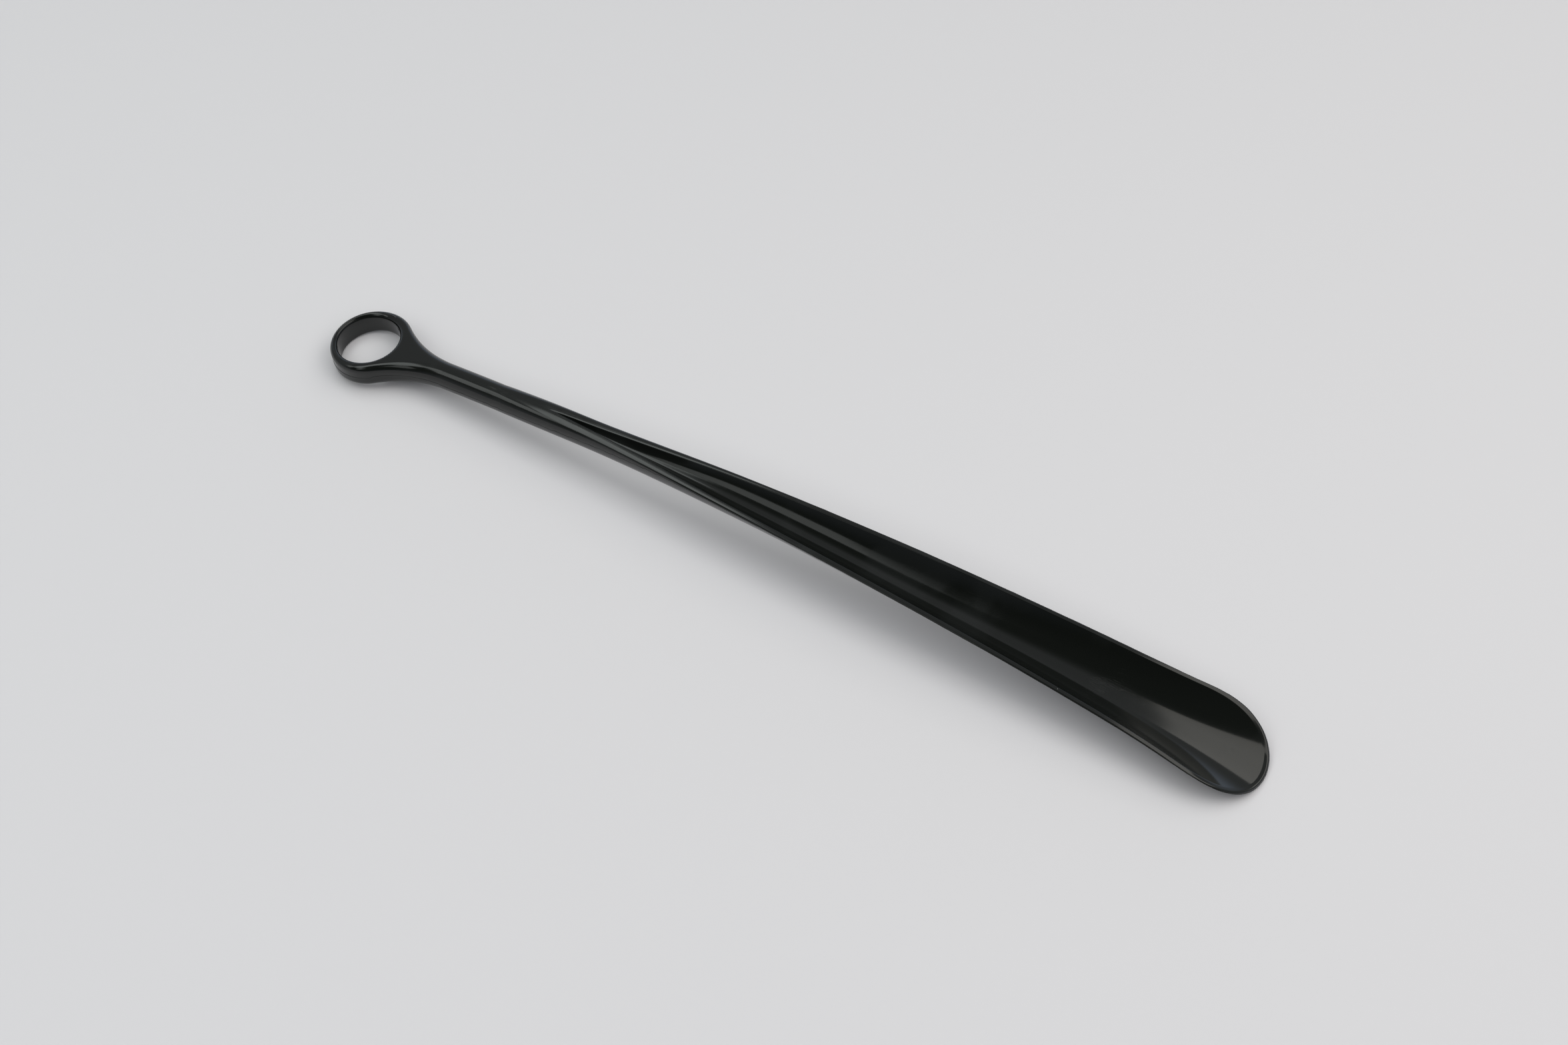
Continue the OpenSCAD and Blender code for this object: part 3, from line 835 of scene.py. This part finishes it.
def lineTree():
    # A fine round line that follows a path and swells a little here and there
    tree = newTree("lineAlongPath", [("Radius", "Float"), ("Spacing", "Float"), ("Material", "Material")])
    given = addNode(tree, "NodeGroupInput")
    path = addNode(tree, "GeometryNodeMeshToCurve", links={"Mesh": given.outputs["Geometry"]})
    even = addNode(tree, "GeometryNodeResampleCurve", {"mode": "LENGTH"},
                   {"Curve": path, "Length": given.outputs["Spacing"]})
    place = addNode(tree, "GeometryNodeInputPosition")
    blotch = addNode(tree, "ShaderNodeTexNoise", {"Scale": parting["swellScale"], "Detail": 2.0},
                     {"Vector": place})
    swell = addNode(tree, "ShaderNodeMapRange",
                    {"From Min": parting["swellEdge"][0], "From Max": parting["swellEdge"][1],
                     "To Min": parting["swell"][0], "To Max": parting["swell"][1]},
                    {"Value": blotch})
    profile = addNode(tree, "GeometryNodeCurvePrimitiveCircle", {"Resolution": parting["sides"]},
                      {"Radius": given.outputs["Radius"]})
    tube = addNode(tree, "GeometryNodeCurveToMesh",
                   links={"Curve": even, "Profile Curve": profile, "Scale": swell})
    endTree(tree, given, tube)
    return tree


def nickTree():
    # Small scraps of flash at random places along a path
    tree = newTree("nicksAlongPath", [("Count", "Int"), ("Chance", "Float"), ("Size", "Vector"),
                                      ("Seed", "Int"), ("Material", "Material")])
    given = addNode(tree, "NodeGroupInput")
    path = addNode(tree, "GeometryNodeMeshToCurve", links={"Mesh": given.outputs["Geometry"]})
    spots = addNode(tree, "GeometryNodeCurveToPoints",
                    links={"Curve": path, "Count": given.outputs["Count"]})
    chosen = addNode(tree, "FunctionNodeRandomValue", {"data_type": "BOOLEAN"},
                     {"Probability": given.outputs["Chance"], "Seed": given.outputs["Seed"]})
    facing = addNode(tree, "FunctionNodeAlignRotationToVector", {"axis": "X"},
                     {"Vector": spots.outputs["Tangent"]})
    share = addNode(tree, "FunctionNodeRandomValue",
                    {"data_type": "FLOAT", 2: parting["nickSpread"][0], 3: parting["nickSpread"][1]},
                    {"Seed": given.outputs["Seed"]})
    size = addNode(tree, "ShaderNodeVectorMath", {"operation": "SCALE"},
                   {0: given.outputs["Size"], "Scale": share.outputs[1]})
    scrap = addNode(tree, "GeometryNodeMeshIcoSphere", {"Radius": 1.0, "Subdivisions": 3})
    placed = addNode(tree, "GeometryNodeInstanceOnPoints",
                     links={"Points": spots, "Selection": chosen.outputs[3], "Instance": scrap,
                            "Rotation": facing, "Scale": size})
    endTree(tree, given, placed)
    return tree


def finishPiece(piece):
    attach(piece, "root")


def makeGateMark(spot, outward):
    # The stub where the plastic entered the mould: a low ring of broken edge round a shallow dip
    profile, count = gate["profile"], gate["around"]
    side = outward.cross(Vector((0, 0, 1))).normalized()
    up = side.cross(outward)
    points, loops = [], []
    for r, h in profile:
        if r == 0:
            loops.append([len(points)] * count)
            points.append(spot + outward * (h * mm))
            continue
        loops.append(list(range(len(points), len(points) + count)))
        for i in range(count):
            angle = 2 * math.pi * i / count
            ragged = 1 + sum(size * math.sin(n * angle + start) for n, size, start in gate["waves"])
            points.append(spot + outward * (h * mm * ragged)
                          + (side * math.cos(angle) + up * math.sin(angle)) * (r * mm * ragged))
    faces = []
    for a, b in zip(loops[:-1], loops[1:]):
        for i in range(count):
            face = [a[i], a[(i + 1) % count], b[(i + 1) % count], b[i]]
            face = [f for k, f in enumerate(face) if f != face[k - 1]]
            faces.append(face)
    mark = meshObject("gateMark", points, faces)
    mark.data.materials.append(glossyBlack)
    finishPiece(mark)


ringPath, nearPath, tipPath, farPath = widestPath()
line = applyTree(pathObject("partingPath", ringPath + nearPath + tipPath + farPath, True), lineTree(),
                 {"Radius": parting["radius"] * mm, "Spacing": parting["spacing"] * mm,
                  "Material": glossyBlack}, "partingLine")
finishPiece(line)
# Flash stays where the mould was worn: on the far side of the blade, and round the tip
halfway = len(farPath) // 2
stretch = farPath[halfway:halfway + parting["nickRows"]]
for name, ids, seed in (("flashOnBlade", stretch, 0), ("flashOnTip", tipPath, 4)):
    scraps = applyTree(pathObject(name + "Path", ids, False), nickTree(),
                       {"Count": parting["nickCount"], "Chance": parting["nickChance"],
                        "Seed": parting["seed"] + seed, "Size": tuple(k * mm for k in parting["nickSize"]),
                        "Material": glossyBlack}, name)
    finishPiece(scraps)
gateAt = min(farPath[-len(flareRows):], key=lambda i: abs(straight[i, 0] - gate["alongRing"]))
gateVertex = body.data.vertices[gateAt]
makeGateMark(gateVertex.co.copy(), gateVertex.normal.copy())
print("parting line, flash and gate mark made")

makeFloor(min(cadLow.z, min(v.co.z for v in body.data.vertices)))
